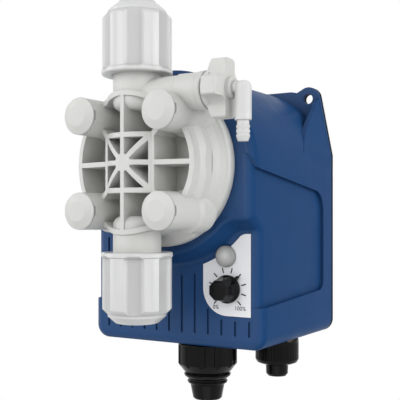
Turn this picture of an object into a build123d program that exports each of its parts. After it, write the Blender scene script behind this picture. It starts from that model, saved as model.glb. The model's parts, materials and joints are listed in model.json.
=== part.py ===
from build123d import *
from math import asin, atan2, cos, degrees, hypot, pi, radians, sin, sqrt
import os

# Wall-mounted solenoid diaphragm metering pump, in millimetres.
#
# Every piece is drawn in the face frame: +X to the right, +Y up, +Z out of the housing towards the
# operator. Its origin is where the pump-head axis crosses the plane of the lower front face.
# `IN_ROOM` then turns the pieces into the part frame: origin on the wall face, +Y into the wall, +Z up.

# ---------------------------------------------------------------- driving dimensions
# housing
HOUSING_W = 107.0          # overall width
HOUSING_D = 92.6           # wall face to lower front face
HALF_W = HOUSING_W / 2
HOUSING_FOOT = -94.5       # underside
ARCH_Y = -2.5              # centre height of the top arch, whose radius is half the width
CORNER_R = 7.5             # bottom corners, seen from the front
EDGE_R = 4.5               # front edges
WALL = 3.5
CAVITY_HALF_W = 48.5
PLATFORM = 9.0             # how far the upper front stands ahead of the lower front
FLANK_RUN = 6.0            # sideways run of the sloping flank below the platform
FLANK_FOOT_R = 51.7        # foot of the flank, about the pump-head axis
FLANK_FOOT_Y = -33.5       # foot of the flank where it runs level to the sides
FLANK_BLEND_R = 8.0
FLANK_FOOT_FILLET = 3.0
FLANK_TOP_FILLET = 2.5
SIDE_RECESS = 2.0
HEAD_OPENING_R = 27.0
GROOVE_COUNT = 12
GROOVE_PITCH = 8.07
GROOVE_SHIFT = 1.07        # the row stands a little right of the centre line
GROOVE_W = 1.3
GROOVE_DEEP = 0.9
GROOVE_FOOT = -87.5
GROOVE_TOP_R = 57.4        # the groove tops follow a circle about the pump-head axis
# rear flange, ears and cover
COVER_T = 2.2
FLANGE_T = 2.4
FLANGE_TOP = 50.0
EAR_X = 39.4
EAR_Y = 45.0
EAR_R = 7.1
EAR_HOLE_R = 3.0
EAR_SLOPE_FOOT = 10.5      # where the sloping edge below an ear meets the side
CHEEK_T = 2.2
COVER_SCREWS = [(-44.5, -83.5), (44.5, -83.5), (-31.0, 33.5), (31.0, 33.5)]
POST_R = 4.5
# control panel
LABEL_LEFT, LABEL_RIGHT = 18.4, 46.3
LABEL_FOOT, LABEL_TOP = -77.3, -35.0
LABEL_CORNER_R = 14.0
LABEL_ARC_R = 54.2
LABEL_T = 0.65
LABEL_PROUD = 0.15
DIAL = (33.2, -63.4)
LENS = (32.2, -46.6)
LENS_R = 5.55
LENS_SEAT = -2.0
BOARD_FRONT = -16.0
BOARD_T = 1.6
BOARD_SCREWS = [(-40.0, -75.0), (43.0, -75.0)]
SHAFT_R = 3.0
SKIRT_R = 7.3
KNOB_H = 12.1
# pump head
FLANGE_R = 42.0
DISC_R = 35.2
RIM_T = 2.6
HUB_FRONT = 46.1           # front of the ribs on the centre line
BOX_FRONT = 40.3           # front of the ribs at the central box
RIM_FRONT = 36.0           # front of the rim at the sides
BOX = 13.5                 # half-width of the central box, to the middle of its ribs
BOX_RIB_T = 2.5
RIB_V_T = 2.2
DIAGONAL_T = 2.4
HUB_R = 4.4
POCKET_FLOOR = 20.0
BOLT = 23.6                # bolt positions, left-right and up-down from the axis
BOSS_R = 9.3
BOSS_FRONT = 49.2
CAP_PROUD = 2.7
SHOULDER_R = 10.9         # wider foot of the bolt bosses
BOLT_R = 2.0
BOLT_SEAT = 24.0
COUNTERBORE_R = 4.1
# valve column
COLUMN_Z = 33.4            # valve axis ahead of the lower front face
NECK_R = 12.0
PORT_START = 43.9          # inner end of each union nut, from the head axis
NECK_FOOT = 26.0           # rounded inner end of each neck, inside the rim
NECK_END = 14.0            # neck length inside the nut
VALVE_BORE_R = 8.0
MOUTH_CHAMFER = 2.6
CARTRIDGE_L = 15.0
BALL_R = 3.0
BALL_SEATED = 6.42         # ball centre above the cartridge's lower end
BALL_LIFT = 1.5
NUT_L = 35.2
NUT_R = 17.3
NUT_RIM_R = 17.8
FLUTE_FLOOR = 15.2
TUBE_HOLE_R = 3.4
# bleed valve
BLEED_Y = 33.3
BRANCH_R = 8.9
BRANCH_END = 38.6
BLEED_BORE_R = 4.0
STEM_R = 2.0
COLLAR_R = 9.25
BLEED_KNOB_TIP = 13.9
WING_W = 8.8
WING_BACK, WING_FRONT = 44.8, 52.9
ELBOW_X = 59.7
ELBOW_R = 3.95
RUNNING_FIT = 0.05
# solenoid
COIL_SHELL_R = 30.0
SHELL_BACK = -62.0
PLUNGER_R = 14.12
PLUNGER_FRONT = -5.2
PLUNGER_BACK = -36.0
ROD_R = 4.0
DIAPHRAGM_R = 22.8
# cable gland and level-sensor socket under the housing
GLAND = (8.5, -21.0)       # X and Z of the axis
SOCKET = (35.0, -54.0)
CABLE_R = 3.6              # bore for a 7 mm cable

BACK = -HOUSING_D
COVER_PLANE = BACK + COVER_T
FAR = 120.0
IN_ROOM = Plane(origin=(0, -HOUSING_D, 0), x_dir=(1, 0, 0), z_dir=(0, -1, 0))
COLUMN_UP = Plane(origin=(0, 0, COLUMN_Z), x_dir=(1, 0, 0), z_dir=(0, 1, 0))
BLEED_AXIS = Plane(origin=(0, BLEED_Y, COLUMN_Z), x_dir=(0, 1, 0), z_dir=(1, 0, 0))
GLAND_DOWN = Plane(origin=(GLAND[0], HOUSING_FOOT, GLAND[1]), x_dir=(1, 0, 0), z_dir=(0, -1, 0))
SOCKET_DOWN = Plane(origin=(SOCKET[0], HOUSING_FOOT, SOCKET[1]), x_dir=(1, 0, 0), z_dir=(0, -1, 0))
BOLTS = [(x, y) for x in (-BOLT, BOLT) for y in (-BOLT, BOLT)]


# ---------------------------------------------------------------- drawing helpers
def turned(*profile):
    """Solid of revolution about local Z from (radius, height) corners."""
    return revolve(make_face(Plane.XZ * Polyline(*profile, close=True)), axis=Axis.Z)


def rod(radius, low, high, centre=(0, 0)):
    """Plain cylinder along local Z between two heights."""
    return Pos(centre[0], centre[1], low) * extrude(Circle(radius), high - low)


def ring(outer, inner, low, high):
    return turned((inner, low), (outer, low), (outer, high), (inner, high))


def prism(sketch, low, high):
    return Pos(0, 0, low) * extrude(sketch, high - low)


def mirrored(shape):
    return shape + mirror(shape, about=Plane.YZ)


def corners_near(sketch, *points):
    """The sketch's corner next to each given point."""
    return [sketch.vertices().sort_by_distance((x, y, 0))[0] for x, y in points]


def helix_wire(radius, wire_r, pitch, low, high):
    """Round-wire spring along local Z."""
    path = Pos(0, 0, low) * Helix(pitch=pitch, height=high - low, radius=radius)
    section = Plane(origin=path @ 0, z_dir=path % 0) * Circle(wire_r)
    return sweep(section, path=path)


# ---------------------------------------------------------------- housing
def front_outline(half_width, foot, corner_r):
    """Flat sides, rounded bottom corners and a round arch on top."""
    sides = Pos(0, (ARCH_Y + foot) / 2) * Rectangle(2 * half_width, ARCH_Y - foot)
    outline = sides + Pos(0, ARCH_Y) * Circle(half_width)
    return fillet(corners_near(outline, (-half_width, foot), (half_width, foot)), corner_r)


def flank_foot():
    """Everything above the foot of the flank: a circle about the head, running level to the sides."""
    above = Pos(0, FLANK_FOOT_Y + FAR) * Rectangle(2 * FAR, 2 * FAR)
    zone = above + Circle(FLANK_FOOT_R)
    meet = sqrt(FLANK_FOOT_R**2 - FLANK_FOOT_Y**2)
    return fillet(corners_near(zone, (-meet, FLANK_FOOT_Y), (meet, FLANK_FOOT_Y)), FLANK_BLEND_R)


def outer_form(half_width):
    """Housing outer form: lower front, sloping flank and the platform that carries the head."""
    outline = front_outline(half_width, HOUSING_FOOT, CORNER_R)
    form = prism(outline, COVER_PLANE, 0)
    slope = extrude(flank_foot(), PLATFORM, taper=degrees(atan2(FLANK_RUN, PLATFORM)))
    form += prism(outline, 0, PLATFORM) & slope

    def crosses_front(edge, height):
        c = edge.center()
        level = abs(c.Z - height) < 0.05
        return level and c.Y < FLANK_FOOT_Y + 8 and hypot(c.X, c.Y) < FLANK_FOOT_R + 1 and abs(c.X) < half_width - 1.5

    def on_skin(point):
        x, y = abs(point.X), point.Y
        in_corner = hypot(x - half_width + CORNER_R, y - HOUSING_FOOT - CORNER_R)
        distances = (
            abs(x - half_width) if y < ARCH_Y + 0.01 else FAR,
            abs(y - HOUSING_FOOT),
            abs(in_corner - CORNER_R),
            abs(hypot(x, y - ARCH_Y) - half_width) if y > ARCH_Y - 0.01 else FAR,
        )
        return min(distances) < 0.001

    form = fillet([e for e in form.edges() if crosses_front(e, 0)], FLANK_FOOT_FILLET)
    form = fillet([e for e in form.edges() if crosses_front(e, PLATFORM)], FLANK_TOP_FILLET)
    front_rim = [
        e for e in form.edges()
        if min(v.Z for v in e.vertices()) > -0.01 and all(on_skin(e @ u) for u in (0, 0.3, 0.7, 1))
    ]
    return fillet(front_rim, EDGE_R)


def flange_outline():
    """Rear flange seen from the front: flat top, two ears, sloping edges down to the sides."""
    reach = hypot(HALF_W - EAR_X, EAR_Y - EAR_SLOPE_FOOT)
    towards = atan2(EAR_Y - EAR_SLOPE_FOOT, EAR_X - HALF_W) - asin(EAR_R / reach)
    run = sqrt(reach**2 - EAR_R**2)
    touch = (HALF_W + run * cos(towards), EAR_SLOPE_FOOT + run * sin(towards))
    cheek = make_face(Polyline((0, 0), (HALF_W, 0), (HALF_W, EAR_SLOPE_FOOT), touch, (EAR_X, EAR_Y), close=True))
    shoulder = make_face(
        Polyline(
            (0, 0), (EAR_X, 0), (EAR_X, EAR_Y), (EAR_X - 2.4, EAR_Y + 6.65), (EAR_X - 7.3, FLANGE_TOP - 0.8),
            (EAR_X - 11, FLANGE_TOP), (0, FLANGE_TOP), close=True,
        )
    )
    half = cheek + shoulder + Pos(EAR_X, EAR_Y) * Circle(EAR_R)
    half += mirror(half, about=Plane.YZ)
    return half + front_outline(HALF_W, HOUSING_FOOT, CORNER_R), touch


def cheek_wedge(touch):
    """Wall below the right ear: follows the sloping edge and fades forward into the arch."""
    inside = (touch[0] - CHEEK_T, touch[1] - 1.0)
    rear = Polyline((46, ARCH_Y), (HALF_W, ARCH_Y), (HALF_W, EAR_SLOPE_FOOT), touch, inside, (47.2, 22), close=True)
    fore = Polyline((46, ARCH_Y), (HALF_W, ARCH_Y), (51.8, 10.4), (47.4, 20.5), (46.4, 20.5), (46, 16), close=True)
    wedge = loft([make_face(rear).moved(Pos(0, 0, COVER_PLANE + 0.1)), make_face(fore).moved(Pos(0, 0, -44))], ruled=True)
    slope = Plane.YZ * make_face(Polyline((60, COVER_PLANE), (40, -82), (21.8, -61), (ARCH_Y - 1, -43), (-20, COVER_PLANE), close=True))
    return wedge & (Pos(30, 0, 0) * extrude(slope, 30))


def side_recess():
    """Outline of the shallow side panel, seen from the side, as a prism through the whole width."""
    outline = make_face(Polyline((11.5, 10.5), (5.7, -2.1), (-78, -12.6), (-78, -68.2), (16, -73.4), close=True))
    outline = fillet(corners_near(outline, (-78, -12.6)), 12)
    outline = fillet(corners_near(outline, (-78, -68.2)), 6)
    outline = fillet(corners_near(outline, (5.7, -2.1)), 1.5)
    sideways = Plane(origin=(-FAR, 0, 0), x_dir=(0, 0, 1), z_dir=(-1, 0, 0))
    return extrude(sideways * outline, -2 * FAR)


def label_outline(gap=0.0):
    """Control label: follows the flank foot, with one large lower corner."""
    width = LABEL_RIGHT - LABEL_LEFT
    sheet = Pos(LABEL_LEFT + width / 2, (LABEL_TOP + LABEL_FOOT) / 2) * Rectangle(width, LABEL_TOP - LABEL_FOOT)
    sheet -= Circle(LABEL_ARC_R)
    meet = sqrt(LABEL_ARC_R**2 - LABEL_TOP**2)
    sheet = fillet(corners_near(sheet, (LABEL_LEFT, LABEL_FOOT)), LABEL_CORNER_R)
    sheet = fillet(corners_near(sheet, (meet, LABEL_TOP)), 6)
    return offset(sheet, gap) if gap else sheet


def groove_span(x):
    """Lowest and highest point of the front groove at x."""
    top = -sqrt(GROOVE_TOP_R**2 - x**2)
    if LABEL_LEFT < x < LABEL_RIGHT:
        corner_x = LABEL_LEFT + LABEL_CORNER_R
        drop = LABEL_CORNER_R - sqrt(LABEL_CORNER_R**2 - max(corner_x - x, 0) ** 2)
        top = LABEL_FOOT + drop - 2.3
    return GROOVE_FOOT, top


def grooves():
    cut = Part()
    first = GROOVE_SHIFT - (GROOVE_COUNT - 1) / 2 * GROOVE_PITCH
    for i in range(GROOVE_COUNT):
        x = first + i * GROOVE_PITCH
        low, top = groove_span(x)
        slot = Pos(x, (low + top) / 2) * Rot(0, 0, 90) * SlotOverall(top - low, GROOVE_W)
        cut += prism(slot, -GROOVE_DEEP, 1)
    return cut


def make_housing():
    outline, touch = flange_outline()
    shell = outer_form(HALF_W)
    shell -= side_recess() - outer_form(HALF_W - SIDE_RECESS)
    shell += prism(outline, COVER_PLANE, COVER_PLANE + FLANGE_T)
    shell += mirrored(cheek_wedge(touch))
    shell -= prism(cavity_outline(), BACK, -WALL)
    shell -= rod(40.0, -WALL - 0.1, PLATFORM - WALL)
    shell -= rod(HEAD_OPENING_R, 0, FAR)
    for x, y in COVER_SCREWS:
        post = rod(POST_R, COVER_PLANE + 2.5, -45, (x, y)) & prism(front_outline(HALF_W - 2, -92, 5), BACK, 0)
        shell += post
        shell -= rod(1.45, BACK, -60, (x, y))
    for x, y in BOLTS:
        shell -= rod(BOLT_R + 0.3, 0, FAR, (x, y))
    shell -= prism(label_outline(0.2), LABEL_PROUD - LABEL_T, 0.6)
    for x, y in BOARD_SCREWS:
        shell += ring(3.2, 1.2, BOARD_FRONT, -WALL + 0.5).moved(Pos(x, y, 0))
    shell -= rod(LENS_R + 0.15, LENS_SEAT, PLATFORM - 1, LENS)
    shell -= rod(LENS_R - 1.0, -WALL - 1, LENS_SEAT, LENS)
    shell -= rod(SHAFT_R + 0.6, -WALL - 1, 1, DIAL)
    shell -= GLAND_DOWN * rod(9.1, -10, 1)
    shell -= SOCKET_DOWN * rod(7.1, -10, 1)
    shell -= grooves()
    for side in (-1, 1):
        shell -= rod(EAR_HOLE_R, BACK, 0, (side * EAR_X, EAR_Y))
    return shell


def cavity_outline():
    return front_outline(CAVITY_HALF_W, HOUSING_FOOT + WALL, 4)


def make_back_cover():
    """Flat back plate with a locating rib, a gasket groove and countersunk screw holes."""
    outline, _ = flange_outline()
    plate = prism(outline, BACK, COVER_PLANE)
    rib = offset(cavity_outline(), -0.4) - offset(cavity_outline(), -2.2)
    plate += prism(rib, COVER_PLANE, COVER_PLANE + 2.2)
    plate -= prism(gasket_path(0.1), COVER_PLANE - 0.8, COVER_PLANE)
    for x, y in COVER_SCREWS:
        hole = turned((0, BACK), (3.3, BACK), (3.3, BACK + 0.3), (1.7, BACK + 1.9), (1.7, 0), (0, 0))
        plate -= Pos(x, y, 0) * hole
        plate -= rod(POST_R + 0.4, COVER_PLANE, -80, (x, y))
    for side in (-1, 1):
        plate -= rod(EAR_HOLE_R, BACK, 0, (side * EAR_X, EAR_Y))
    return plate


def gasket_path(grow=0.0):
    return offset(cavity_outline(), 2.2 + grow) - offset(cavity_outline(), 0.9 - grow)


def make_cover_gasket():
    return prism(gasket_path(), COVER_PLANE - 0.8, COVER_PLANE)


def make_cover_screws():
    screws = Part()
    head = turned((0, BACK + 0.2), (3.0, BACK + 0.3), (1.4, BACK + 1.9), (1.4, -72), (0.6, -70), (0, -70))
    cross = (Rectangle(2.8, 0.7) + Rectangle(0.7, 2.8))
    head -= prism(cross, BACK, BACK + 1.3)
    for x, y in COVER_SCREWS:
        screws += Pos(x, y, 0) * head
    return screws


# ---------------------------------------------------------------- control panel and board
def make_label():
    sheet = label_outline()
    sheet -= Pos(*DIAL) * Circle(SHAFT_R + 0.6)
    sheet -= Pos(*LENS) * Circle(LENS_R + 0.1)
    return prism(sheet, LABEL_PROUD - LABEL_T, LABEL_PROUD)


def make_lens():
    dome = turned((0, -3.0), (LENS_R - 1.2, -3.0), (LENS_R - 1.2, LENS_SEAT), (LENS_R, LENS_SEAT), (LENS_R, 1.6),
                  (LENS_R * 0.86, 2.3), (LENS_R * 0.5, 2.9), (0, 3.1))
    return Pos(LENS[0], LENS[1], 0) * dome


def make_led():
    body = turned((0, BOARD_FRONT), (2.9, BOARD_FRONT), (2.9, -15.0), (2.5, -15.0), (2.5, -10.5), (1.8, -9.0), (0, -8.2))
    return Pos(LENS[0], LENS[1], 0) * body


def make_circuit_board():
    board = prism(Pos(1.5, -61) * Rectangle(91, 37), BOARD_FRONT - BOARD_T, BOARD_FRONT)
    for x, y in BOARD_SCREWS:
        board -= rod(1.7, -20, -10, (x, y))
    return board


def make_board_components():
    """Capacitors, terminal block and driver heat sink standing on the back of the board."""
    parts = Part()
    for x, y, r, tall in ((-34, -54, 6.0, 20), (-20, -60, 5.0, 16), (10, -70, 4.0, 12)):
        can = turned((0, 0), (r, 0), (r, 1.2), (r - 0.35, 1.6), (r - 0.35, 2.2), (r, 2.6), (r, tall), (0, tall))
        parts += Pos(x, y, -17.6) * Rot(180, 0, 0) * can
    block = Pos(-33, -72, -23.6) * Box(20, 10, 12)
    for i in range(4):
        block -= rod(1.6, -40, -21, (-40.5 + 5 * i, -72))
    parts += block
    sink = Pos(20, -52, -18.6) * Box(14, 10, 2)
    for i in range(4):
        sink += Pos(14.5 + i * 3.6, -52, -24) * Box(1.2, 10, 9)
    return parts + sink


def make_potentiometer():
    body = Pos(DIAL[0], DIAL[1], -12.3) * Box(16, 16, 7.4)
    body = fillet(body.edges().filter_by(Axis.Z), 1.5)
    body += rod(4.4, -8.7, -WALL - 0.1, DIAL)
    return body - rod(SHAFT_R + RUNNING_FIT, -14, 0, DIAL)


def make_potentiometer_shaft():
    return rod(SHAFT_R, -13.5, 10.5, DIAL)


def make_control_knob():
    """Skirted knob with an eight-sided tapered grip and a pointer on the skirt."""
    knob = turned((0, 0.8), (SKIRT_R, 0.8), (SKIRT_R, 1.9), (SKIRT_R - 0.5, 2.5), (0, 2.5))
    sections = [(2.3, 7.1), (3.6, 6.7), (10.9, 5.3), (KNOB_H, 4.4)]
    for (low, wide), (high, narrow) in zip(sections, sections[1:]):
        knob += loft([Pos(0, 0, z) * Rot(0, 0, 22.5) * RegularPolygon(r, 8) for z, r in ((low, wide), (high, narrow))])
    for i in range(8):
        scoop = Pos(9.4, 0, 4.4) * Rot(0, -9, 0) * Cylinder(3.4, 9, align=(Align.CENTER, Align.CENTER, Align.MIN))
        knob -= Rot(0, 0, 45 * i) * scoop
    pointer = extrude(make_face(Polyline((5, -0.9), (9.4, -0.6), (9.4, 0.6), (5, 0.9), close=True)), 1.8)
    knob += Rot(0, 0, 45) * (Pos(0, 0, 0.9) * pointer)
    knob -= rod(SHAFT_R + 0.02, 0, 10.6)
    return Pos(DIAL[0], DIAL[1], 0) * knob


# ---------------------------------------------------------------- solenoid drive
def make_solenoid_flange():
    """Square steel end plate that takes the pump-head bolts."""
    plate = RectangleRounded(62, 62, 12)
    for x, y in BOLTS:
        plate -= Pos(x, y) * Circle(BOLT_R + 0.05)
    plate -= Circle(7.05)
    return prism(plate, 0.5, PLATFORM - WALL)


def make_solenoid_shell():
    cup = turned((0, SHELL_BACK), (COIL_SHELL_R, SHELL_BACK), (COIL_SHELL_R, 0.5), (COIL_SHELL_R - 3, 0.5),
                 (COIL_SHELL_R - 3, -58), (0, -58))
    cup -= Pos(0, -COIL_SHELL_R, -50) * Box(10, 12, 8)
    return cup


def make_bobbin():
    return turned((14.2, 0.4), (26.6, 0.4), (26.6, -1.6), (15.8, -1.6), (15.8, -55.8), (26.6, -55.8),
                  (26.6, -57.8), (14.2, -57.8))


def make_winding():
    return ring(25.4, 15.9, -55.6, -1.8)


def make_pole_piece():
    return ring(14.1, 7.05, -3.4, 0.5)


def make_guide_bush():
    return turned((ROD_R + RUNNING_FIT, -3.4), (7.0, -3.4), (7.0, 6.5), (5.6, 7.0), (ROD_R + RUNNING_FIT, 7.0))


def make_plunger():
    body = turned((0, PLUNGER_BACK), (13.2, PLUNGER_BACK), (PLUNGER_R, PLUNGER_BACK + 1), (PLUNGER_R, PLUNGER_FRONT - 1),
                  (13.2, PLUNGER_FRONT), (6.8, PLUNGER_FRONT), (6.8, -13.4), (ROD_R, -13.4), (ROD_R, -30), (0, -30))
    return body


def make_push_rod():
    return turned((0, -30), (ROD_R, -30), (ROD_R, 7.3), (0, 7.3))


def make_return_spring():
    return helix_wire(5.4, 0.45, 1.9, -12.8, -4.0)


def make_rear_pad():
    return turned((0, -36.1), (12.5, -36.1), (13.2, -36.8), (13.2, -38.2), (0, -38.2))


def make_rear_core():
    return rod(14.1, -58, -38.2)


def make_backing_plate():
    """Plastic ring behind the diaphragm, dished towards the middle."""
    return turned((9.0, PLATFORM - WALL), (HEAD_OPENING_R - 0.2, PLATFORM - WALL), (HEAD_OPENING_R - 0.2, PLATFORM),
                  (15.5, PLATFORM), (9.0, 7.6))


def make_diaphragm():
    """Rolling membrane: thick clamped rim, thin web, centre pad over the steel insert."""
    return turned((0, 9.75), (7.15, 9.75), (7.15, 9.2), (14.5, PLATFORM), (DIAPHRAGM_R, PLATFORM), (DIAPHRAGM_R, 10.65),
                  (17.5, 10.65), (16.0, 10.1), (12.5, 10.1), (9.5, 10.7), (0, 10.7))


def make_diaphragm_insert():
    return turned((0, 7.3), (5, 7.3), (7.0, 8.2), (7.0, 9.7), (0, 9.7))


# ---------------------------------------------------------------- pump head
def head_envelope():
    """Front of the head seen from above: a rounded crown that falls away to both sides."""
    crown = ThreePointArc((-BOX, BOX_FRONT), (0, HUB_FRONT), (BOX, BOX_FRONT))
    rest = Polyline((BOX, BOX_FRONT), (DISC_R + 1, RIM_FRONT), (DISC_R + 1, PLATFORM), (-DISC_R - 1, PLATFORM),
                    (-DISC_R - 1, RIM_FRONT), (-BOX, BOX_FRONT))
    return extrude(Plane.XZ * make_face(crown + rest), 60, both=True)


def head_disc():
    """Ribbed disc on its stepped flange."""
    disc = turned((0, 18), (36.8, 18), (36.7, 26.6), (DISC_R, 30.8), (DISC_R, 60), (0, 60)) & head_envelope()
    flange = turned((0, PLATFORM), (FLANGE_R, PLATFORM), (FLANGE_R, 13.2), (41.6, 14.5), (40.4, 15.3),
                    (38.6, 17.2), (37.3, 19.6), (36.8, 21.6), (0, 21.6))
    return disc + flange


def pocket_outline():
    """Open pockets between the ribs, seen from the front."""
    inner_r = DISC_R - RIM_T
    ribs = Rectangle(RIB_V_T, 2 * FAR) + Rectangle(2 * FAR, BOX_RIB_T) + Circle(HUB_R)
    frame = Rectangle(2 * BOX + BOX_RIB_T, 2 * BOX + BOX_RIB_T) - Rectangle(2 * BOX - BOX_RIB_T, 2 * BOX - BOX_RIB_T)
    ribs += frame
    for angle in (45, -45):
        ribs += Rot(0, 0, angle) * Rectangle(2 * DISC_R - 16, DIAGONAL_T)
    for x, y in BOLTS:
        ribs += Pos(x, y) * Circle(BOSS_R - 0.4)
    return Circle(inner_r) - ribs


def valve_lug(side):
    """Block inside the rim that carries the passage from the valve column down to the chamber."""
    lug = Pos(0, side * 30.0) * RectangleRounded(15.8, 7.0, 2.4)
    return prism(lug, POCKET_FLOOR - 1, 38)


def port_plane(side):
    """Frame of a valve port: origin at the inner end of its nut, Z outward along the column."""
    return Plane(origin=(0, side * PORT_START, COLUMN_Z), x_dir=(1, 0, 0), z_dir=(0, side, 0))


def valve_bore(side):
    """Stepped bore of one valve port, with a chamfered mouth for its seal."""
    floor = NECK_END - CARTRIDGE_L - 0.2
    mouth = VALVE_BORE_R + MOUTH_CHAMFER
    profile = [(0, floor), (VALVE_BORE_R, floor), (VALVE_BORE_R, NECK_END - MOUTH_CHAMFER), (mouth, NECK_END)]
    passage = rod(2.2, 28.2 - PORT_START, floor + 0.5)
    return port_plane(side) * (turned(*profile, (0, NECK_END)) + passage)


def chamber_drillings(side):
    """Drillings from a valve bore down the lug and along the floor to the pumping chamber."""
    deep = 15.5
    drop = side * 29.5
    low, high = sorted((side * 11.0, drop))
    along = Plane(origin=(0, low, deep), x_dir=(1, 0, 0), z_dir=(0, 1, 0)) * rod(1.5, 0, high - low)
    return rod(2.0, deep - 1.6, COLUMN_Z, (0, drop)), along, rod(1.4, PLATFORM, deep, (0, side * 12.5))


def make_pump_head():
    head = head_disc()
    head -= prism(pocket_outline(), POCKET_FLOOR, FAR)
    for side in (-1, 1):
        head += valve_lug(side) + neck(side)
        head -= valve_bore(side)
    head += bleed_branch()
    for x, y in BOLTS:
        head += Pos(x, y, 0) * turned((0, 14), (SHOULDER_R + 0.2, 14), (SHOULDER_R, 25.0), (BOSS_R + 0.2, 27.2),
                                       (BOSS_R, BOSS_FRONT), (0, BOSS_FRONT))
    for x, y in BOLTS:
        head -= rod(COUNTERBORE_R, BOLT_SEAT, FAR, (x, y)) + rod(BOLT_R + 0.3, 0, BOLT_SEAT + 1, (x, y))
        head -= Pos(x + BOSS_R, y, BOSS_FRONT) * Box(2.4, 4.6, 2.2)
    for side in (-1, 1):
        for drilling in chamber_drillings(side):
            head -= drilling
    head -= turned((0, PLATFORM), (DIAPHRAGM_R + 0.1, PLATFORM), (DIAPHRAGM_R + 0.1, 10.65), (16.2, 10.65),
                   (13.0, 12.4), (0, 12.4))
    head -= ring(26.1, 23.9, PLATFORM, PLATFORM + 2)
    return head - bleed_bore()


def bleed_branch():
    slim = BRANCH_R - 0.5
    profile = [(0, 6), (slim, 6), (slim, 26.3), (BRANCH_R, 26.7), (BRANCH_R, BRANCH_END), (0, BRANCH_END)]
    return BLEED_AXIS * turned(*profile)


def bleed_bore():
    floor = 22
    mouth = BLEED_BORE_R + MOUTH_CHAMFER
    profile = [(0, floor), (BLEED_BORE_R, floor), (BLEED_BORE_R, BRANCH_END - MOUTH_CHAMFER), (mouth, BRANCH_END)]
    return BLEED_AXIS * (turned(*profile, (0, BRANCH_END)) + rod(1.2, 0, floor + 1))


def neck(side):
    """Valve housing: a column with a rounded inner end that shows in the pocket behind the rim."""
    column = rod(NECK_R, NECK_FOOT - PORT_START, NECK_END)
    return port_plane(side) * fillet(column.edges().group_by(Axis.Z)[0], 4.5)


def make_head_o_ring():
    return Pos(0, 0, 9.95) * Torus(25, 0.9)


def make_head_bolts():
    bolts = Part()
    bolt = turned((0, 0.9), (1.6, 0.9), (BOLT_R, 1.3), (BOLT_R, 25.0), (3.5, 25.0), (3.5, 28.6), (3.1, 29.0), (0, 29.0))
    bolt -= prism(RegularPolygon(1.75, 6), 26.5, 30)
    for x, y in BOLTS:
        bolts += Pos(x, y, 0) * bolt
    return bolts


def make_bolt_washers():
    washers = Part()
    for x, y in BOLTS:
        washers += Pos(x, y, 0) * ring(4.0, BOLT_R + 0.15, BOLT_SEAT, 25.0)
    return washers


def make_bolt_caps():
    caps = Part()
    seat = BOSS_FRONT + 0.35
    cap = turned((0, 42.5), (4.0, 42.5), (4.05, 43.2), (4.05, BOSS_FRONT), (8.5, BOSS_FRONT), (8.5, seat),
                 (BOSS_R - 0.1, seat), (BOSS_R, seat + 0.2), (BOSS_R - 0.2, seat + 0.5), (5.6, BOSS_FRONT + CAP_PROUD - 0.2),
                 (5.0, BOSS_FRONT + CAP_PROUD), (0, BOSS_FRONT + CAP_PROUD))
    for x, y in BOLTS:
        caps += Pos(x, y, 0) * cap
    return caps


# ---------------------------------------------------------------- valves and unions
def cartridge(flange_low):
    """Ball-valve cartridge, built upward from its lower end: seat cone, ball chamber, cage top."""
    body = turned((0, 0), (VALVE_BORE_R - 0.05, 0), (VALVE_BORE_R - 0.05, CARTRIDGE_L), (0, CARTRIDGE_L))
    low = -2 if flange_low else CARTRIDGE_L
    body += rod(10.6, low, low + 2)
    body -= turned((0, -3), (1.9, -3), (1.9, 4.0), (4.2, 6.3), (4.2, 11.3), (0, 11.3))
    for i in range(4):
        body -= Rot(0, 0, 90 * i + 45) * rod(1.3, 11, CARTRIDGE_L + 3, (2.8, 0))
    return body


def cartridge_place(side):
    low = PORT_START + NECK_END - CARTRIDGE_L if side > 0 else -PORT_START - NECK_END
    return COLUMN_UP * Pos(0, 0, low)


def make_cartridge(side):
    return cartridge_place(side) * cartridge(flange_low=side < 0)


def make_ball(side):
    return cartridge_place(side) * Pos(0, 0, BALL_SEATED) * Sphere(BALL_R)


def make_port_o_ring(side):
    return port_plane(side) * Pos(0, 0, NECK_END - 0.6) * Torus(8.8, 0.6)


def make_nozzle(side):
    """Tube nipple: flange held by the union nut, ridged spigot that the tube is pushed on."""
    profile = [(1.3, 16), (10.6, 16), (10.6, 18.3), (3.0, 18.3), (1.9, 19.4)]
    for i in range(3):
        profile += [(1.9, 20.4 + 2.1 * i), (2.4, 20.5 + 2.1 * i), (1.9, 22.4 + 2.1 * i)]
    return port_plane(side) * turned(*profile, (1.3, 27.0))


def make_ferrule(side):
    """Slit grip ring that the nut squeezes on to the tube."""
    grip = turned((3.1, 18.3), (10.2, 18.3), (10.2, 20.2), (6.9, 27.4), (3.1, 27.4))
    grip -= Pos(7, 0, 23) * Box(14, 1.0, 12)
    return port_plane(side) * grip


def flute():
    """Cutter for one grip flute: flat floor, sloping flanks and a sloping end towards the rim."""
    def section(shift):
        floor, mouth = FLUTE_FLOOR + shift, FLUTE_FLOOR + shift + 3.4
        return make_face(Polyline((floor, -2.9), (mouth, -8.0), (mouth, 8.0), (floor, 2.9), close=True))
    end = loft([section(2.4).moved(Pos(0, 0, 1.7)), section(0).moved(Pos(0, 0, 3.1))])
    return end + Pos(0, 0, 3.1) * extrude(section(0), NUT_L)


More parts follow.
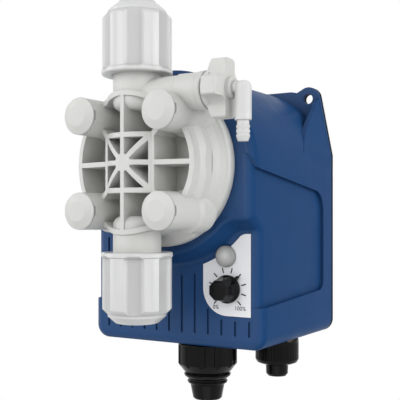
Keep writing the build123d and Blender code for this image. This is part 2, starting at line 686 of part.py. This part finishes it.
def make_union_nut(side):
    """Union nut: rim, six wide grip panels with flutes between them, chamfered crown."""
    crown = [(14.7, 30.7), (14.5, 31.8), (11.0, 34.9), (10.2, NUT_L)]
    if side > 0:
        crown += [(9.7, 35.4), (9.4, 36.4), (8.4, 37.5), (6.6, 38.2)]
    top = crown[-1][1]
    nut = turned((0, 0), (NUT_RIM_R - 0.5, 0), (NUT_RIM_R, 0.5), (NUT_RIM_R, 2.2), (NUT_R, 2.5), (NUT_R, 28.0), *crown, (0, top))
    for i in range(6):
        nut -= Rot(0, 0, 60 * i) * flute()
    nut -= turned((0, -1), (NECK_R + 0.15, -1), (NECK_R + 0.15, 18.6), (11.0, 18.6), (7.3, 28.0), (TUBE_HOLE_R, 28.0),
                  (TUBE_HOLE_R, top + 1), (0, top + 1))
    return port_plane(side) * nut


# ---------------------------------------------------------------- bleed valve
def make_bleed_seat():
    """Screwed-in seat: visible collar outside the branch, nose that the knob turns on."""
    collar = BRANCH_END + 2.7
    seat = turned((0, 22.2), (BLEED_BORE_R - 0.05, 22.2), (BLEED_BORE_R - 0.05, BRANCH_END), (COLLAR_R, BRANCH_END),
                  (COLLAR_R, collar - 0.4), (COLLAR_R - 0.4, collar), (5.0, collar), (5.0, 47.2), (4.5, 47.6), (0, 47.6))
    bore = turned((0, 22), (0.9, 22), (0.9, 24.6), (STEM_R + RUNNING_FIT, 25.8), (STEM_R + RUNNING_FIT, 48), (0, 48))
    return BLEED_AXIS * (seat - bore)


def make_bleed_o_ring():
    return BLEED_AXIS * Pos(0, 0, BRANCH_END - 0.6) * Torus(4.8, 0.6)


def make_bleed_needle():
    """Needle, stem and outlet spigot in one piece, drilled from a cross hole behind the tip."""
    stem = turned((0, 24.5), (0.7, 24.5), (STEM_R, 25.9), (STEM_R, 49.2), (3.0, 49.2), (3.0, 55.3), (1.8, 55.3),
                  (1.8, 58.2), (0, 58.2))
    stem -= rod(0.8, 28, 59)
    stem -= Pos(0, 0, 28.5) * Rot(90, 0, 0) * Cylinder(0.7, 6)
    return BLEED_AXIS * stem


def make_bleed_knob():
    """Four-winged hand knob: wings slope back to a round skirt, hub round the outlet."""
    half = WING_W / 2
    wings = Rectangle(2 * BLEED_KNOB_TIP, WING_W) + Rectangle(WING_W, 2 * BLEED_KNOB_TIP)
    inner = [(sx * half, sy * half) for sx in (-1, 1) for sy in (-1, 1)]
    wings = fillet(corners_near(wings, *inner), 4.4)
    tips = [(a, b) for a in (-half, half) for b in (-BLEED_KNOB_TIP, BLEED_KNOB_TIP)]
    tips += [(b, a) for a, b in tips]
    wings = fillet(corners_near(wings, *tips), 1.3)
    envelope = turned((0, 41.7), (8.7, 41.7), (9.2, 43.0), (13.2, WING_BACK), (BLEED_KNOB_TIP + 1, WING_BACK + 0.8),
                      (BLEED_KNOB_TIP + 1, WING_FRONT - 0.6), (13.0, WING_FRONT), (0, WING_FRONT))
    knob = prism(wings, 41.7, WING_FRONT) & envelope
    knob += turned((0, 41.7), (8.7, 41.7), (9.0, 42.2), (9.0, 44.2), (8.0, 45.2), (0, 45.2))
    knob += turned((0, 52), (5.3, 52), (5.1, 54.8), (4.7, 55.2), (0, 55.2))
    knob -= turned((0, 41), (5.5, 41), (5.5, 48.6), (3.0 + RUNNING_FIT, 48.6), (3.0 + RUNNING_FIT, 56), (0, 56))
    return BLEED_AXIS * knob


def make_bleed_elbow():
    """Outlet elbow: socket on the needle's spigot, tube down, three hose barbs."""
    arm = BLEED_AXIS * rod(2.95, 55.5, ELBOW_X)
    drop = Plane(origin=(ELBOW_X, 0, COLUMN_Z), x_dir=(1, 0, 0), z_dir=(0, 1, 0))
    profile = [(0, 8.25), (2.4, 8.25), (3.2, 10.6)]
    for i in range(3):
        profile += [(3.2, 11.2 + 2.2 * i), (2.85, 11.5 + 2.2 * i), (3.2, 12.8 + 2.2 * i)]
    profile = profile[:-1] + [(2.8, 18.0), (ELBOW_R, 18.0), (ELBOW_R, 33.2), (3.6, 34.8), (2.6, 35.8), (1.2, 36.2), (0, 36.25)]
    elbow = arm + drop * turned(*profile)
    elbow -= BLEED_AXIS * rod(1.85, 55, 58.6)
    elbow -= BLEED_AXIS * rod(1.3, 58, ELBOW_X)
    elbow -= drop * rod(1.3, 8, BLEED_Y)
    return elbow


# ---------------------------------------------------------------- underside
def make_gland_body():
    body = turned((CABLE_R, -9), (9.0, -9), (9.0, 0), (12.5, 0), (12.5, 2.4), (9.6, 2.4), (9.6, 11.5), (CABLE_R, 11.5))
    return GLAND_DOWN * body


def make_gland_locknut():
    return GLAND_DOWN * (Pos(0, 0, -8) * extrude(RegularPolygon(12.0, 6) - Circle(9.02), 4.4))


def make_gland_nut():
    """Cap nut with bold flutes that run out on its cone."""
    nut = turned((12.7, 0.4), (15.9, 0.4), (16.2, 1.2), (16.2, 12.0), (13.3, 15.9), (9.7, 15.9), (9.7, 2.8), (12.7, 2.8))
    for i in range(12):
        nut -= Rot(0, 0, 30 * i + 10) * rod(2.2, 1.6, 17, (17.3, 0))
    return GLAND_DOWN * nut


def make_gland_seal():
    return GLAND_DOWN * turned((CABLE_R, 11.5), (9.4, 11.5), (9.4, 15.9), (CABLE_R, 15.9))


def make_gland_boot():
    """Stepped strain-relief sleeve with two ridges."""
    sleeve = turned((CABLE_R, 15.9), (12.9, 15.9), (12.0, 16.9), (12.9, 17.7), (12.7, 18.7), (10.8, 20.3), (10.5, 21.0),
                    (11.1, 21.7), (10.8, 22.6), (9.4, 23.5), (8.0, 30.9), (7.3, 31.6), (CABLE_R, 31.6))
    return GLAND_DOWN * sleeve


def make_level_socket():
    body = turned((2.6, -9), (7.0, -9), (7.0, 0), (9.5, 0), (9.5, 1.0), (6.4, 1.0), (6.4, 11.0), (2.6, 11.0))
    return SOCKET_DOWN * body


def make_level_cap():
    """Finely knurled protective cap with a small pull stub."""
    cap = turned((0, 1.0), (12.1, 1.0), (12.3, 1.6), (12.3, 12.3), (11.4, 14.0), (9.3, 14.9), (6.4, 15.1),
                 (6.2, 20.6), (5.2, 21.9), (0, 21.9))
    for i in range(40):
        cap -= Rot(0, 0, 9 * i) * rod(0.45, 2.6, 13.0, (12.45, 0))
    cap -= turned((0, 0), (6.6, 0), (6.6, 11.2), (0, 11.2))
    return SOCKET_DOWN * cap


# ---------------------------------------------------------------- assembly
PIECES = {
    "housing": make_housing,
    "back_cover": make_back_cover,
    "cover_gasket": make_cover_gasket,
    "cover_screws": make_cover_screws,
    "control_label": make_label,
    "indicator_lens": make_lens,
    "indicator_led": make_led,
    "circuit_board": make_circuit_board,
    "board_components": make_board_components,
    "potentiometer": make_potentiometer,
    "potentiometer_shaft": make_potentiometer_shaft,
    "control_knob": make_control_knob,
    "solenoid_flange": make_solenoid_flange,
    "solenoid_shell": make_solenoid_shell,
    "coil_bobbin": make_bobbin,
    "coil_winding": make_winding,
    "pole_piece": make_pole_piece,
    "guide_bush": make_guide_bush,
    "plunger": make_plunger,
    "push_rod": make_push_rod,
    "return_spring": make_return_spring,
    "rear_pad": make_rear_pad,
    "rear_core": make_rear_core,
    "backing_plate": make_backing_plate,
    "diaphragm": make_diaphragm,
    "diaphragm_insert": make_diaphragm_insert,
    "head_o_ring": make_head_o_ring,
    "pump_head": make_pump_head,
    "head_bolts": make_head_bolts,
    "bolt_washers": make_bolt_washers,
    "bolt_caps": make_bolt_caps,
    "bleed_seat": make_bleed_seat,
    "bleed_o_ring": make_bleed_o_ring,
    "bleed_needle": make_bleed_needle,
    "bleed_knob": make_bleed_knob,
    "bleed_elbow": make_bleed_elbow,
    "gland_body": make_gland_body,
    "gland_locknut": make_gland_locknut,
    "gland_nut": make_gland_nut,
    "gland_seal": make_gland_seal,
    "gland_boot": make_gland_boot,
    "level_socket": make_level_socket,
    "level_socket_cap": make_level_cap,
}
PORT_PIECES = {
    "cartridge": make_cartridge,
    "ball": make_ball,
    "o_ring": make_port_o_ring,
    "nozzle": make_nozzle,
    "ferrule": make_ferrule,
    "union_nut": make_union_nut,
}

os.makedirs("parts", exist_ok=True)
for name, make in PIECES.items():
    export_step(IN_ROOM * make(), f"parts/{name}.step")
for port, side in (("discharge", 1), ("suction", -1)):
    for name, make in PORT_PIECES.items():
        export_step(IN_ROOM * make(side), f"parts/{port}_{name}.step")
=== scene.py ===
import json
import math

import bmesh
import bpy
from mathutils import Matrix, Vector


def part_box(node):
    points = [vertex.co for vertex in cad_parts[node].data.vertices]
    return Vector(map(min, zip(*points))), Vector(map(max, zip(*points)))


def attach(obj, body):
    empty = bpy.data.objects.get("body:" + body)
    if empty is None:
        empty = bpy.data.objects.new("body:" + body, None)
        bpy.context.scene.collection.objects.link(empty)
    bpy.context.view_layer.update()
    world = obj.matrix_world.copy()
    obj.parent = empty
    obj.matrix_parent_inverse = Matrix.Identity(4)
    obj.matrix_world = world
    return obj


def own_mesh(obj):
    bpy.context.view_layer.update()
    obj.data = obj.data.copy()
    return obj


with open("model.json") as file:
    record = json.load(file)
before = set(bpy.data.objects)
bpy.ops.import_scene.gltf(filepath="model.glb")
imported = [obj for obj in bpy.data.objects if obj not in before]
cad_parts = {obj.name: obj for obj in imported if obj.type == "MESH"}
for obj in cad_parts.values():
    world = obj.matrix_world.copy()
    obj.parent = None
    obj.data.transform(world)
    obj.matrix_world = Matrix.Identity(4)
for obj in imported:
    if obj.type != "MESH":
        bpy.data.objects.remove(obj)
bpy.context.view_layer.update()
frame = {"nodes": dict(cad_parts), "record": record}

nodes = frame["nodes"]
MM = 0.001


# ---------------------------------------------------------------- node helper

def linear(red, green, blue):
    """Screen values from 0 to 255 as a linear colour."""
    def channel(v):
        v = v / 255.0
        return v / 12.92 if v <= 0.04045 else ((v + 0.055) / 1.055) ** 2.4
    return (channel(red), channel(green), channel(blue), 1.0)


def shade(colour, factor):
    """The colour made darker or lighter by a factor."""
    return tuple(c * factor for c in colour[:3]) + (1.0,)


class Finish:
    """A node material built up from a Principled shader."""

    BEVEL_SAMPLES = 4
    OCCLUSION_SAMPLES = 8
    CLOSED, OPEN = 0.55, 0.96                  # occlusion that counts as a deep groove and as an open face

    def __init__(self, name, roughness, metallic=0.0, ior=1.5):
        self.mat = bpy.data.materials.new(name)
        self.mat.use_nodes = True
        self.tree = self.mat.node_tree
        self.shader = self.tree.nodes["Principled BSDF"]
        self.shader.inputs["Roughness"].default_value = roughness
        self.shader.inputs["Metallic"].default_value = metallic
        self.shader.inputs["IOR"].default_value = ior
        self.place = self.tree.nodes.new("ShaderNodeTexCoord").outputs["Object"]
        self.normal = None

    def put(self, socket, value):
        """Links a node's output to the socket, or gives the socket a plain value."""
        if hasattr(value, "is_linked"):
            self.tree.links.new(value, socket)
        else:
            socket.default_value = value

    def node(self, kind, **inputs):
        made = self.tree.nodes.new(kind)
        for key, value in inputs.items():
            self.put(made.inputs[key.replace("_", " ")], value)
        return made

    def vector_math(self, operation, first, second):
        made = self.node("ShaderNodeVectorMath", Vector=first)
        made.operation = operation
        made.inputs[1].default_value = second
        return made

    def noise(self, scale, detail=3.0, roughness=0.55, stretch=(1, 1, 1)):
        mapped = self.node("ShaderNodeMapping", Vector=self.place, Scale=stretch)
        made = self.node("ShaderNodeTexNoise", Vector=mapped.outputs["Vector"], Scale=scale,
                         Detail=detail, Roughness=roughness)
        return made.outputs["Fac"]

    def spread(self, fac, low, high, start=0.3, stop=0.7):
        """Maps start to low and stop to high on a straight line, and holds both ends."""
        made = self.node("ShaderNodeMapRange", Value=fac)
        made.inputs["From Min"].default_value = start
        made.inputs["From Max"].default_value = stop
        made.inputs["To Min"].default_value = low
        made.inputs["To Max"].default_value = high
        return made.outputs["Result"]

    def mix(self, fac, first, second):
        made = self.tree.nodes.new("ShaderNodeMix")
        made.data_type = "RGBA"
        self.put(made.inputs["Factor"], fac)
        self.put(made.inputs["A"], first)
        self.put(made.inputs["B"], second)
        return made.outputs["Result"]

    def colour(self, value):
        self.put(self.shader.inputs["Base Color"], value)

    def rough(self, fac, low, high):
        self.put(self.shader.inputs["Roughness"], self.spread(fac, low, high))

    def relief(self, height, depth_mm):
        made = self.node("ShaderNodeBump", Strength=1.0, Distance=depth_mm * MM, Height=height)
        if self.normal is not None:
            self.put(made.inputs["Normal"], self.normal)
        self.normal = made.outputs["Normal"]
        self.put(self.shader.inputs["Normal"], self.normal)

    def soften(self, radius_mm):
        """Rounds the look of sharp edges. It is called before relief()."""
        made = self.node("ShaderNodeBevel", Radius=radius_mm * MM)
        made.samples = self.BEVEL_SAMPLES
        self.normal = made.outputs["Normal"]
        self.put(self.shader.inputs["Normal"], self.normal)

    def openness(self, reach_mm):
        """1 on open faces, 0 deep in a groove or a corner."""
        made = self.node("ShaderNodeAmbientOcclusion", Distance=reach_mm * MM)
        made.samples = self.OCCLUSION_SAMPLES
        return self.spread(made.outputs["AO"], 0.0, 1.0, self.CLOSED, self.OPEN)

    def ring(self, axis, inner_mm, outer_mm, fade_in_mm, fade_out_mm):
        """1 between two distances from an upright axis, and 0 beyond the fade on either side."""
        level = self.vector_math("MULTIPLY", self.place, (1, 1, 0)).outputs["Vector"]
        away = self.vector_math("DISTANCE", level, (axis[0], axis[1], 0)).outputs["Value"]
        both = self.tree.nodes.new("ShaderNodeMath")
        both.operation = "MULTIPLY"
        past_inner = self.spread(away, 0.0, 1.0, (inner_mm - fade_in_mm) * MM, inner_mm * MM)
        before_outer = self.spread(away, 1.0, 0.0, outer_mm * MM, (outer_mm + fade_out_mm) * MM)
        self.put(both.inputs[0], past_inner)
        self.put(both.inputs[1], before_outer)
        return both.outputs["Value"]

    def sheen(self, side, front):
        """Specular level of faces that look sideways and of faces that look to the front."""
        look = self.tree.nodes.new("ShaderNodeNewGeometry").outputs["Normal"]
        facing = self.vector_math("DOT_PRODUCT", look, (0, -1, 0)).outputs["Value"]
        level = self.spread(facing, side, front, start=0.6, stop=0.95)
        self.put(self.shader.inputs["Specular IOR Level"], level)


# ---------------------------------------------------------------- materials

PAINTED_SHADE_REACH = 5.0                            # mm, how near a wall has to be for painted shade to darken a face
# Painted shade on the flute floors of the union nuts, as a share of their colour.
PAINTED_FLUTE_FLOOR_SHADE = 0.81

BLUE = linear(31, 69, 116)
BLACK = linear(9, 9, 10)
HEAD_WHITE = linear(212, 212, 208)
UNION_WHITE = linear(212, 212, 211)
NUT_WHITE = linear(214, 214, 213)
MILKY_WHITE = linear(214, 214, 213)
LABEL_GREY = linear(244, 245, 248)
BOARD_GREEN = linear(20, 96, 52)
RUBBER_BLACK = linear(10, 10, 11)
STEEL = (0.62, 0.62, 0.61, 1)
COPPER = (0.78, 0.33, 0.16, 1)
BRONZE = (0.72, 0.5, 0.25, 1)


def moulded(name, colour, roughness, grain_mm=0.35, depth_mm=0.01, edge_mm=0.35, mottle=0.06,
            painted_crevice_shade=1.0, sheen=None, painted_flute_ring=None, **kind):
    """Injection-moulded plastic: eroded grain, faint flow mottling, softened edges, painted shade in
    crevices and, where asked, painted shade on flute floors.
    """
    f = Finish(name, roughness, **kind)
    f.soften(edge_mm)
    flow = f.noise(scale=35.0, detail=4.0, roughness=0.6)
    grain = f.noise(scale=1.0 / (grain_mm * MM), detail=2.0, roughness=0.5)
    wear = f.noise(scale=90.0)
    body = f.mix(f.spread(flow, 0.0, 1.0), shade(colour, 1 - mottle), shade(colour, 1 + mottle))
    if painted_flute_ring:
        # Painted shade on the flute floors, in a ring round the nut axis.
        body = f.mix(f.ring(*painted_flute_ring), body, shade(colour, PAINTED_FLUTE_FLOOR_SHADE))
    # Painted shade: faces close to walls, in grooves and in corners, are darkened by the crevice factor.
    if painted_crevice_shade < 1:
        body = f.mix(f.openness(PAINTED_SHADE_REACH), shade(colour, painted_crevice_shade), body)
    f.colour(body)
    if sheen:
        f.sheen(*sheen)
    f.rough(wear, roughness - 0.04, roughness + 0.05)
    f.relief(grain, depth_mm)
    return f.mat


def rubber(name, colour):
    """Dark rubber with a trace of dust."""
    f = Finish(name, 0.2, ior=1.22)
    f.soften(0.2)
    dust = f.noise(scale=120.0, detail=5.0, roughness=0.65)
    f.colour(f.mix(f.spread(dust, 0.0, 1.0, start=0.5, stop=0.85), colour, shade(colour, 1.6)))
    f.rough(dust, 0.14, 0.26)
    f.relief(f.noise(scale=2200.0), 0.002)
    return f.mat


def turned_metal(name, colour, roughness):
    """Machined metal with fine tool marks round the head axis."""
    f = Finish(name, roughness, metallic=1.0)
    f.soften(0.12)
    marks = f.noise(scale=260.0, roughness=0.6, stretch=(1, 40, 1))
    f.colour(f.mix(f.spread(marks, 0.0, 1.0), shade(colour, 0.9), shade(colour, 1.06)))
    f.rough(marks, roughness - 0.06, roughness + 0.1)
    f.relief(marks, 0.004)
    return f.mat


def valve_glass():
    """Nearly clear glass of the valve balls."""
    f = Finish("valve_glass", 0.08, ior=1.5)
    f.shader.inputs["Transmission Weight"].default_value = 0.9
    tint = f.spread(f.noise(scale=60.0), 0.0, 1.0)
    f.colour(f.mix(tint, (0.86, 0.9, 0.9, 1), (0.94, 0.97, 0.97, 1)))
    return f.mat


def milky_lens():
    """Cloudy dome of the indicator, with a painted highlight in the middle and painted shade towards its
    edge.
    """
    low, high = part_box("indicator_lens")
    front_centre = ((low[0] + high[0]) / 2, low[1], (low[2] + high[2]) / 2)
    f = Finish("milky_lens", 0.22, ior=1.45)
    f.soften(0.2)
    # Painted highlight in the middle and painted shade towards the edge, by distance from the front centre.
    away = f.vector_math("DISTANCE", f.place, front_centre).outputs["Value"]
    depth = f.spread(away, 0.0, 1.0, start=0.5 * MM, stop=5.6 * MM)
    cloud = f.mix(f.noise(scale=300.0), linear(204, 204, 202), linear(214, 214, 211))
    f.colour(f.mix(depth, cloud, linear(150, 150, 149)))
    f.relief(f.noise(scale=1500.0), 0.002)
    return f.mat


def union_nut_plastic():
    """Plastic of the union nuts, with painted shade that makes the flute floors darker than their grip
    panels.
    """
    low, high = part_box("discharge_union_nut")
    nut_axis = ((low[0] + high[0]) / 2, (low[1] + high[1]) / 2)
    floor_inner, floor_outer, fade_in, fade_out = 15.1, 15.5, 0.3, 1.2
    return moulded("union_nut_moulding", NUT_WHITE, 0.22, grain_mm=0.5, depth_mm=0.002, edge_mm=0.5,
                   mottle=0.015, painted_crevice_shade=0.7,
                   painted_flute_ring=(nut_axis, floor_inner, floor_outer, fade_in, fade_out), ior=1.5)


# Dark plastics have a lower refractive index than the real ones, so that the white backdrop doesn't
# wash out their colour.
# The crevice factors below set how dark the painted shade near walls is.
materials = {
    "blue_plastic": moulded("housing_blue", BLUE, 0.36, grain_mm=0.45, depth_mm=0.006, edge_mm=0.5,
                            mottle=0.04, painted_crevice_shade=0.8, sheen=(0.05, 0.55), ior=1.3),
    "black_plastic": moulded("black_moulding", BLACK, 0.14, grain_mm=0.3, depth_mm=0.002, edge_mm=0.3,
                             mottle=0.15, ior=1.22),
    "head_plastic": moulded("head_moulding", HEAD_WHITE, 0.4, grain_mm=0.5, depth_mm=0.005, edge_mm=0.4,
                            mottle=0.02, painted_crevice_shade=0.86, ior=1.4),
    "union_plastic": moulded("union_moulding", UNION_WHITE, 0.22, grain_mm=0.5, depth_mm=0.002, edge_mm=0.5,
                             mottle=0.015, painted_crevice_shade=0.6, ior=1.5),
    "milky_plastic": moulded("milky_moulding", MILKY_WHITE, 0.24, depth_mm=0.003, edge_mm=0.25,
                             mottle=0.02, ior=1.5),
    "label_film": moulded("label_film", LABEL_GREY, 0.45, grain_mm=0.2, depth_mm=0.003, edge_mm=0.1,
                          mottle=0.015, ior=1.3),
    "board_laminate": moulded("solder_mask", BOARD_GREEN, 0.35, depth_mm=0.006, mottle=0.12),
    "steel": turned_metal("turned_steel", STEEL, 0.3),
    "copper_wire": turned_metal("wound_copper", COPPER, 0.35),
    "bronze": turned_metal("sintered_bronze", BRONZE, 0.45),
    "seal_rubber": rubber("seal_rubber", RUBBER_BLACK),
    "valve_glass": valve_glass(),
    "lens_plastic": milky_lens(),
}

for part in frame["record"]["subparts"]:
    skin = nodes[part["node"]].data.materials
    skin.clear()
    skin.append(materials[part["material_slot"]])

nut_finish = union_nut_plastic()
for nut in ("discharge_union_nut", "suction_union_nut"):
    nodes[nut].data.materials[0] = nut_finish

# The back plate is duller than the glossy black fittings.
nodes["back_cover"].data.materials[0] = moulded("cover_black", BLACK, 0.55, grain_mm=0.6, depth_mm=0.02,
                                                edge_mm=0.2, mottle=0.2, ior=1.08)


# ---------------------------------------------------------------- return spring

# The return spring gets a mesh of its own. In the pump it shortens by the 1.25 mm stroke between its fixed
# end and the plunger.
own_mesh(nodes["return_spring"])


# ---------------------------------------------------------------- dial print

# Places and sizes on the label, in mm.
DIAL_X, DIAL_Z = 32.8, -63.4
PRINT_T = 0.06
TICK_INNER, TICK_OUTER, TICK_W = 8.4, 11.2, 0.66
TICK_CHAMFER = 0.1
TICK_COUNT, FIRST_TICK, TICK_STEP = 10, -135, 30        # angles in degrees, 0 is straight up
FIGURE_HEIGHT = 2.1
HEIGHT_SHARE = 0.7                                      # capital height as a share of the font size
LABEL_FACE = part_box("control_label")[0][1]


def on_label(x, z, depth=0.0):
    return Vector((x * MM, LABEL_FACE - depth * MM, z * MM))


def ink():
    """Slightly worn black print."""
    f = Finish("dial_ink", 0.5, ior=1.3)
    worn = f.noise(scale=900.0, detail=4.0)
    f.colour(f.mix(f.spread(worn, 0.0, 1.0), linear(6, 6, 7), linear(14, 14, 16)))
    f.rough(worn, 0.4, 0.6)
    return f.mat


def dial_ticks():
    """Printed strokes round the knob, with chamfered outer ends."""
    made = bmesh.new()
    shoulder = TICK_OUTER - TICK_CHAMFER
    outline = [(TICK_INNER, -0.5), (shoulder, -0.5), (TICK_OUTER, -0.25), (TICK_OUTER, 0.25),
               (shoulder, 0.5), (TICK_INNER, 0.5)]      # distance in mm, share of the width
    for i in range(TICK_COUNT):
        turn = math.radians(FIRST_TICK + TICK_STEP * i)
        along = Vector((math.sin(turn), 0, math.cos(turn)))
        across = Vector((math.cos(turn), 0, -math.sin(turn)))
        rings = []
        for depth in (0.0, PRINT_T):
            centre = on_label(DIAL_X, DIAL_Z, depth)
            rings.append([made.verts.new(centre + (along * r + across * w * TICK_W) * MM)
                          for r, w in outline])
        under, over = rings
        made.faces.new(over)
        made.faces.new(list(reversed(under)))
        for j in range(len(outline)):
            k = (j + 1) % len(outline)
            made.faces.new((under[j], under[k], over[k], over[j]))
    bmesh.ops.recalc_face_normals(made, faces=made.faces)
    mesh = bpy.data.meshes.new("dial_ticks")
    made.to_mesh(mesh)
    made.free()
    return bpy.data.objects.new("dial_ticks", mesh)


def dial_figure(name, words, x, z):
    """A printed percentage, centred on x and z, as thick as the strokes."""
    text = bpy.data.curves.new(name, "FONT")
    text.body = words
    text.size = FIGURE_HEIGHT * MM / HEIGHT_SHARE
    text.extrude = PRINT_T * MM / 2
    text.align_x = "CENTER"
    text.align_y = "CENTER"
    made = bpy.data.objects.new(name, text)
    made.location = on_label(x, z, PRINT_T / 2)
    made.rotation_euler = (math.radians(90), 0, 0)
    return made


print_ink = ink()
prints = [
    dial_ticks(),
    dial_figure("figure_0_percent", "0%", 26.0, -73.0),
    dial_figure("figure_100_percent", "100%", 40.3, -73.1),
]
for piece in prints:
    bpy.context.scene.collection.objects.link(piece)
    piece.data.materials.append(print_ink)
    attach(piece, "root")


# ---------------------------------------------------------------- studio

FLOOR_Z = -0.9
FLOOR_HALF = 15.0
PAPER_GREY = (0.8, 0.8, 0.8, 1)
AMBIENT_COLOUR, AMBIENT_STRENGTH = (0.95, 0.97, 1.0, 1), 0.27
LIGHT_AIM = Vector((0, -0.06, -0.02))
LIGHT_DISTANCE = 1.2


def seen_white(tree, lit, white):
    """White for camera, mirror and glass rays, and the lit surface for everything else."""
    path = tree.nodes.new("ShaderNodeLightPath").outputs
    bounced = tree.nodes.new("ShaderNodeMath")
    bounced.operation = "MAXIMUM"
    tree.links.new(path["Is Glossy Ray"], bounced.inputs[0])
    tree.links.new(path["Is Transmission Ray"], bounced.inputs[1])
    seen = tree.nodes.new("ShaderNodeMath")
    seen.operation = "MAXIMUM"
    tree.links.new(path["Is Camera Ray"], seen.inputs[0])
    tree.links.new(bounced.outputs[0], seen.inputs[1])
    mixed = tree.nodes.new("ShaderNodeMixShader")
    tree.links.new(seen.outputs[0], mixed.inputs[0])
    tree.links.new(lit, mixed.inputs[1])
    tree.links.new(white, mixed.inputs[2])
    return mixed.outputs[0]


def studio_paper():
    paper = bpy.data.materials.new("studio_paper")
    paper.use_nodes = True
    tree = paper.node_tree
    matt = tree.nodes["Principled BSDF"]
    matt.inputs["Base Color"].default_value = PAPER_GREY
    matt.inputs["Roughness"].default_value = 0.9
    glow = tree.nodes.new("ShaderNodeEmission")
    tree.links.new(seen_white(tree, matt.outputs[0], glow.outputs[0]),
                   tree.nodes["Material Output"].inputs["Surface"])
    return paper


def studio_floor():
    corners = [(-FLOOR_HALF, -FLOOR_HALF, 0), (FLOOR_HALF, -FLOOR_HALF, 0),
               (FLOOR_HALF, FLOOR_HALF, 0), (-FLOOR_HALF, FLOOR_HALF, 0)]
    mesh = bpy.data.meshes.new("studio_floor")
    mesh.from_pydata(corners, [], [(0, 1, 2, 3)])
    mesh.materials.append(studio_paper())
    made = bpy.data.objects.new("studio_floor", mesh)
    made.location = (0, 0, FLOOR_Z)
    bpy.context.scene.collection.objects.link(made)
    return made


def studio_world():
    world = bpy.data.worlds.new("studio_world")
    world.use_nodes = True
    tree = world.node_tree
    ambient = tree.nodes["Background"]
    ambient.inputs["Color"].default_value = AMBIENT_COLOUR
    ambient.inputs["Strength"].default_value = AMBIENT_STRENGTH
    backdrop = tree.nodes.new("ShaderNodeBackground")
    backdrop.inputs["Color"].default_value = (1, 1, 1, 1)
    tree.links.new(seen_white(tree, ambient.outputs[0], backdrop.outputs[0]),
                   tree.nodes["World Output"].inputs["Surface"])
    bpy.context.scene.world = world


def softbox(name, azimuth, elevation, width, height, power):
    """Soft light aimed at the object. Azimuth 0 is straight in front, positive to the right."""
    turn = math.radians(azimuth)
    rise = math.radians(elevation)
    way = Vector((math.sin(turn) * math.cos(rise), -math.cos(turn) * math.cos(rise), math.sin(rise)))
    data = bpy.data.lights.new(name, "AREA")
    data.shape = "RECTANGLE"
    data.size = width
    data.size_y = height
    data.energy = power
    made = bpy.data.objects.new(name, data)
    made.location = LIGHT_AIM + LIGHT_DISTANCE * way
    made.rotation_euler = (-way).to_track_quat("-Z", "Y").to_euler()
    bpy.context.scene.collection.objects.link(made)


floor = studio_floor()
studio_world()
softbox("far_left_softbox", azimuth=-60, elevation=15, width=0.5, height=1.0, power=4.0)
softbox("left_softbox", azimuth=-18, elevation=18, width=0.5, height=1.0, power=4.8)
softbox("front_softbox", azimuth=22, elevation=25, width=0.6, height=0.8, power=2.2)
softbox("right_softbox", azimuth=62, elevation=10, width=0.6, height=0.9, power=2.6)
softbox("far_right_softbox", azimuth=100, elevation=12, width=0.6, height=0.9, power=6.2)
softbox("top_softbox", azimuth=60, elevation=75, width=0.6, height=0.6, power=1.4)
softbox("low_softbox", azimuth=25, elevation=-30, width=1.0, height=0.6, power=1.4)


# ---------------------------------------------------------------- camera

# The view of the photograph, fitted to its edges and circles.
PICTURE_PX = 400.0
FOCAL_PX = 787.8
HORIZON_PX = 218.34                            # picture row of the horizon, from the top
SENSOR_MM = 36.0
CAMERA_PLACE = (0.23004, -0.44571, -0.02713)
CAMERA_AZIMUTH = 31.18

camera = bpy.data.cameras.new("photo_camera")
camera.sensor_width = SENSOR_MM
camera.lens = FOCAL_PX * SENSOR_MM / PICTURE_PX
camera.shift_y = (HORIZON_PX - PICTURE_PX / 2) / PICTURE_PX
camera.clip_start = 0.01
viewer = bpy.data.objects.new("photo_camera", camera)
viewer.location = CAMERA_PLACE
viewer.rotation_euler = (math.radians(90), 0, math.radians(CAMERA_AZIMUTH))
bpy.context.scene.collection.objects.link(viewer)
bpy.context.scene.camera = viewer
bpy.context.scene.view_settings.view_transform = "Standard"
